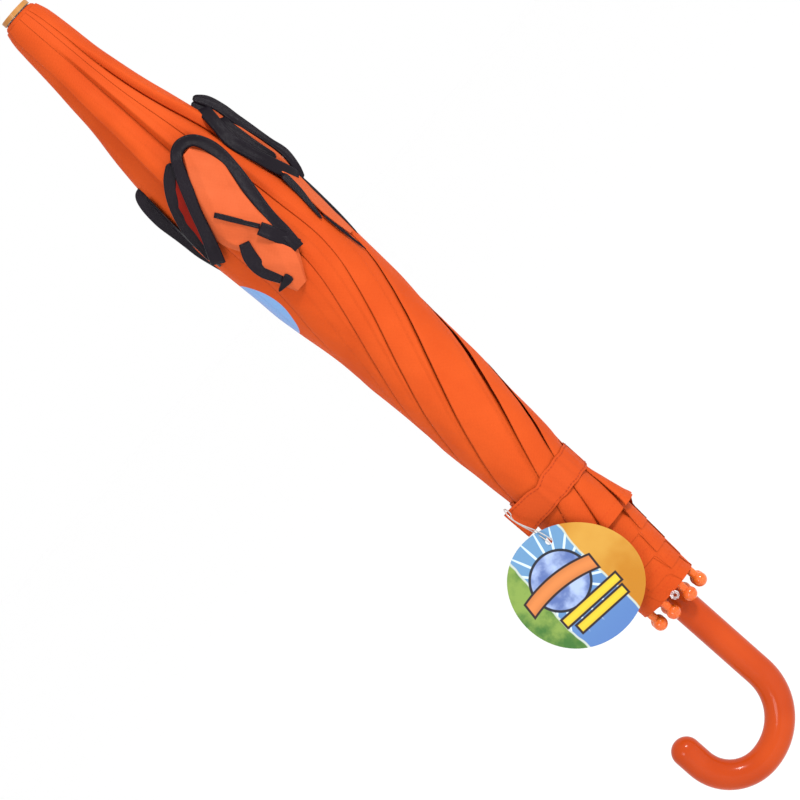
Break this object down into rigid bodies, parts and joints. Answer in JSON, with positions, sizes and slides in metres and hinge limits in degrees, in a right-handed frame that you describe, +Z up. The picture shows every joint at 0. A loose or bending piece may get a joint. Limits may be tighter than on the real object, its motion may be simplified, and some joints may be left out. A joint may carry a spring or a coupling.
{
  "type": "children's umbrella",
  "caption": "Furled child's stick umbrella with a J handle, pleated orange canopy, sewn-on flaps, ball rib tips, tie strap and hang tag; it opens.",
  "frame": {"origin": "centre of the hand's grip, on the shaft's axis", "axes": "+Z up the shaft towards the crown, +X away from the hook's tip, -Y the front"},
  "size_m": [0.1055, 0.0688, 0.5918],
  "materials": {
    "handle_plastic": "gloss",
    "tip_plastic": "gloss",
    "canopy_fabric": "woven polyester",
    "fin_fabric": "woven polyester with a dark bound edge",
    "strap_fabric": "woven polyester",
    "shaft_steel": "satin",
    "rib_steel": "satin black",
    "wire_steel": "satin",
    "hub_plastic": "satin",
    "cap_plastic": "satin",
    "clear_plastic": "clear",
    "tag_card": null
  },
  "bodies": {
    "handle_and_shaft": {"handle": "handle_plastic", "shaft_tube": "shaft_steel", "handle_pin": "wire_steel", "top_notch": "hub_plastic", "crown_wire": "wire_steel", "top_cap": "cap_plastic", "cap_washer": "clear_plastic"},
    "rib_1": {"rib_1": "rib_steel", "rivet_1": "wire_steel", "rib_tip_1": "tip_plastic"},
    "rib_2": {"rib_2": "rib_steel", "rivet_2": "wire_steel", "rib_tip_2": "tip_plastic"},
    "rib_3": {"rib_3": "rib_steel", "rivet_3": "wire_steel", "rib_tip_3": "tip_plastic"},
    "rib_4": {"rib_4": "rib_steel", "rivet_4": "wire_steel", "rib_tip_4": "tip_plastic"},
    "rib_5": {"rib_5": "rib_steel", "rivet_5": "wire_steel", "rib_tip_5": "tip_plastic"},
    "rib_6": {"rib_6": "rib_steel", "rivet_6": "wire_steel", "rib_tip_6": "tip_plastic"},
    "rib_7": {"rib_7": "rib_steel", "rivet_7": "wire_steel", "rib_tip_7": "tip_plastic"},
    "rib_8": {"rib_8": "rib_steel", "rivet_8": "wire_steel", "rib_tip_8": "tip_plastic"},
    "stretcher_1": {"stretcher_1": "rib_steel"},
    "stretcher_2": {"stretcher_2": "rib_steel"},
    "stretcher_3": {"stretcher_3": "rib_steel"},
    "stretcher_4": {"stretcher_4": "rib_steel"},
    "stretcher_5": {"stretcher_5": "rib_steel"},
    "stretcher_6": {"stretcher_6": "rib_steel"},
    "stretcher_7": {"stretcher_7": "rib_steel"},
    "stretcher_8": {"stretcher_8": "rib_steel"},
    "runner": {"runner": "hub_plastic", "runner_wire": "wire_steel"},
    "panel_1": {"panel_1": "canopy_fabric"},
    "panel_2": {"panel_2": "canopy_fabric"},
    "panel_3": {"panel_3": "canopy_fabric"},
    "panel_4": {"panel_4": "canopy_fabric", "fin_left": "fin_fabric"},
    "panel_5": {"panel_5": "canopy_fabric"},
    "panel_6": {"panel_6": "canopy_fabric", "fin_front": "fin_fabric"},
    "panel_7": {"panel_7": "canopy_fabric"},
    "panel_8": {"panel_8": "canopy_fabric", "fin_right": "fin_fabric"},
    "strap_1": {"strap_1": "strap_fabric"},
    "strap_2": {"strap_2": "strap_fabric"},
    "strap_3": {"strap_3": "strap_fabric", "tag_loop": "clear_plastic"},
    "tag": {"tag": "tag_card"},
    "upper_catch": {"upper_catch": "wire_steel"},
    "lower_catch": {"lower_catch": "wire_steel"}
  },
  "joints": [
    {"name": "open", "type": "hinge", "parent": "handle_and_shaft", "child": "rib_1", "pos_m": [0.00739, 0.00306, 0.507], "axis": [0.3827, -0.9239, 0], "range_deg": [0, 61]},
    {"name": "rib_2_swing", "type": "hinge", "parent": "handle_and_shaft", "child": "rib_2", "pos_m": [0.00306, 0.00739, 0.507], "axis": [0.9239, -0.3827, 0], "range_deg": [0, 61]},
    {"name": "rib_3_swing", "type": "hinge", "parent": "handle_and_shaft", "child": "rib_3", "pos_m": [-0.00306, 0.00739, 0.507], "axis": [0.9239, 0.3827, 0], "range_deg": [0, 61]},
    {"name": "rib_4_swing", "type": "hinge", "parent": "handle_and_shaft", "child": "rib_4", "pos_m": [-0.00739, 0.00306, 0.507], "axis": [0.3827, 0.9239, 0], "range_deg": [0, 61]},
    {"name": "rib_5_swing", "type": "hinge", "parent": "handle_and_shaft", "child": "rib_5", "pos_m": [-0.00739, -0.00306, 0.507], "axis": [-0.3827, 0.9239, 0], "range_deg": [0, 61]},
    {"name": "rib_6_swing", "type": "hinge", "parent": "handle_and_shaft", "child": "rib_6", "pos_m": [-0.00306, -0.00739, 0.507], "axis": [-0.9239, 0.3827, 0], "range_deg": [0, 61]},
    {"name": "rib_7_swing", "type": "hinge", "parent": "handle_and_shaft", "child": "rib_7", "pos_m": [0.00306, -0.00739, 0.507], "axis": [-0.9239, -0.3827, 0], "range_deg": [0, 61]},
    {"name": "rib_8_swing", "type": "hinge", "parent": "handle_and_shaft", "child": "rib_8", "pos_m": [0.00739, -0.00306, 0.507], "axis": [-0.3827, -0.9239, 0], "range_deg": [0, 61]},
    {"name": "stretcher_1_pivot", "type": "hinge", "parent": "rib_1", "child": "stretcher_1", "pos_m": [0.00739, 0.00306, 0.302], "axis": [0.3827, -0.9239, 0], "range_deg": [-122, 0]},
    {"name": "stretcher_2_pivot", "type": "hinge", "parent": "rib_2", "child": "stretcher_2", "pos_m": [0.00306, 0.00739, 0.302], "axis": [0.9239, -0.3827, 0], "range_deg": [-122, 0]},
    {"name": "stretcher_3_pivot", "type": "hinge", "parent": "rib_3", "child": "stretcher_3", "pos_m": [-0.00306, 0.00739, 0.302], "axis": [0.9239, 0.3827, 0], "range_deg": [-122, 0]},
    {"name": "stretcher_4_pivot", "type": "hinge", "parent": "rib_4", "child": "stretcher_4", "pos_m": [-0.00739, 0.00306, 0.302], "axis": [0.3827, 0.9239, 0], "range_deg": [-122, 0]},
    {"name": "stretcher_5_pivot", "type": "hinge", "parent": "rib_5", "child": "stretcher_5", "pos_m": [-0.00739, -0.00306, 0.302], "axis": [-0.3827, 0.9239, 0], "range_deg": [-122, 0]},
    {"name": "stretcher_6_pivot", "type": "hinge", "parent": "rib_6", "child": "stretcher_6", "pos_m": [-0.00306, -0.00739, 0.302], "axis": [-0.9239, 0.3827, 0], "range_deg": [-122, 0]},
    {"name": "stretcher_7_pivot", "type": "hinge", "parent": "rib_7", "child": "stretcher_7", "pos_m": [0.00306, -0.00739, 0.302], "axis": [-0.9239, -0.3827, 0], "range_deg": [-122, 0]},
    {"name": "stretcher_8_pivot", "type": "hinge", "parent": "rib_8", "child": "stretcher_8", "pos_m": [0.00739, -0.00306, 0.302], "axis": [-0.3827, -0.9239, 0], "range_deg": [-122, 0]},
    {"name": "runner_pivot", "type": "hinge", "parent": "stretcher_1", "child": "runner", "pos_m": [0.00739, 0.00306, 0.097], "axis": [0.3827, -0.9239, 0], "range_deg": [0, 61]},
    {"name": "panel_1_spread", "type": "hinge", "parent": "rib_1", "child": "panel_1", "pos_m": [0.00612, 0.00612, 0.507], "axis": [0.6211, 0.6211, -0.478], "range_deg": [0, 44.82], "deforming": ["panel_1"]},
    {"name": "panel_2_spread", "type": "hinge", "parent": "rib_2", "child": "panel_2", "pos_m": [0, 0.00866, 0.507], "axis": [0, 0.8784, -0.478], "range_deg": [0, 44.82], "deforming": ["panel_2"]},
    {"name": "panel_3_spread", "type": "hinge", "parent": "rib_3", "child": "panel_3", "pos_m": [-0.00612, 0.00612, 0.507], "axis": [-0.6211, 0.6211, -0.478], "range_deg": [0, 44.82], "deforming": ["panel_3"]},
    {"name": "panel_4_spread", "type": "hinge", "parent": "rib_4", "child": "panel_4", "pos_m": [-0.00866, 0, 0.507], "axis": [-0.8784, 0, -0.478], "range_deg": [0, 44.82], "deforming": ["panel_4"]},
    {"name": "panel_5_spread", "type": "hinge", "parent": "rib_5", "child": "panel_5", "pos_m": [-0.00612, -0.00612, 0.507], "axis": [-0.6211, -0.6211, -0.478], "range_deg": [0, 44.82], "deforming": ["panel_5"]},
    {"name": "panel_6_spread", "type": "hinge", "parent": "rib_6", "child": "panel_6", "pos_m": [0, -0.00866, 0.507], "axis": [0, -0.8784, -0.478], "range_deg": [0, 44.82], "deforming": ["panel_6"]},
    {"name": "panel_7_spread", "type": "hinge", "parent": "rib_7", "child": "panel_7", "pos_m": [0.00612, -0.00612, 0.507], "axis": [0.6211, -0.6211, -0.478], "range_deg": [0, 44.82], "deforming": ["panel_7"]},
    {"name": "panel_8_spread", "type": "hinge", "parent": "rib_8", "child": "panel_8", "pos_m": [0.00866, 0, 0.507], "axis": [0.8784, 0, -0.478], "range_deg": [0, 44.82], "deforming": ["panel_8"]},
    {"name": "strap_1_unwrap", "type": "hinge", "parent": "rib_5", "child": "strap_1", "pos_m": [-0.02236, -0.00926, 0.129], "axis": [0, 0, 1], "range_deg": [0, 50.1], "deforming": ["strap_1"]},
    {"name": "strap_2_unwrap", "type": "hinge", "parent": "strap_1", "child": "strap_2", "pos_m": [-0.00358, 0.02393, 0.129], "axis": [0, 0, 1], "range_deg": [0, 104.1], "deforming": ["strap_2"]},
    {"name": "strap_3_unwrap", "type": "hinge", "parent": "strap_2", "child": "strap_3", "pos_m": [0.02409, -0.00232, 0.129], "axis": [0, 0, 1], "range_deg": [0, 104.1], "deforming": ["strap_3"]},
    {"name": "tag_swing", "type": "hinge", "parent": "strap_3", "child": "tag", "pos_m": [-0.023, -0.0305, 0.111], "axis": [1, 0, 0], "range_deg": [-100, 0], "deforming": ["tag_loop"]},
    {"name": "upper_catch_press", "type": "slide", "parent": "handle_and_shaft", "child": "upper_catch", "axis": [0, 1, 0], "range_m": [0, 0.0023], "stiffness_N_per_m": 400},
    {"name": "lower_catch_press", "type": "slide", "parent": "handle_and_shaft", "child": "lower_catch", "axis": [0, 1, 0], "range_m": [0, 0.0023], "stiffness_N_per_m": 400}
  ],
  "couplings": [
    {"joint": "rib_2_swing", "follows": "open", "ratio": 1},
    {"joint": "rib_3_swing", "follows": "open", "ratio": 1},
    {"joint": "rib_4_swing", "follows": "open", "ratio": 1},
    {"joint": "rib_5_swing", "follows": "open", "ratio": 1},
    {"joint": "rib_6_swing", "follows": "open", "ratio": 1},
    {"joint": "rib_7_swing", "follows": "open", "ratio": 1},
    {"joint": "rib_8_swing", "follows": "open", "ratio": 1},
    {"joint": "stretcher_1_pivot", "follows": "open", "ratio": -2},
    {"joint": "stretcher_2_pivot", "follows": "open", "ratio": -2},
    {"joint": "stretcher_3_pivot", "follows": "open", "ratio": -2},
    {"joint": "stretcher_4_pivot", "follows": "open", "ratio": -2},
    {"joint": "stretcher_5_pivot", "follows": "open", "ratio": -2},
    {"joint": "stretcher_6_pivot", "follows": "open", "ratio": -2},
    {"joint": "stretcher_7_pivot", "follows": "open", "ratio": -2},
    {"joint": "stretcher_8_pivot", "follows": "open", "ratio": -2},
    {"joint": "runner_pivot", "follows": "open", "ratio": 1},
    {"joint": "panel_1_spread", "follows": "open", "ratio": 0.7344},
    {"joint": "panel_2_spread", "follows": "open", "ratio": 0.7344},
    {"joint": "panel_3_spread", "follows": "open", "ratio": 0.7344},
    {"joint": "panel_4_spread", "follows": "open", "ratio": 0.7344},
    {"joint": "panel_5_spread", "follows": "open", "ratio": 0.7344},
    {"joint": "panel_6_spread", "follows": "open", "ratio": 0.7344},
    {"joint": "panel_7_spread", "follows": "open", "ratio": 0.7344},
    {"joint": "panel_8_spread", "follows": "open", "ratio": 0.7344},
    {"joint": "strap_1_unwrap", "follows": "open", "ratio": 0.81967},
    {"joint": "strap_2_unwrap", "follows": "open", "ratio": 1.7049},
    {"joint": "strap_3_unwrap", "follows": "open", "ratio": 1.7049}
  ]
}
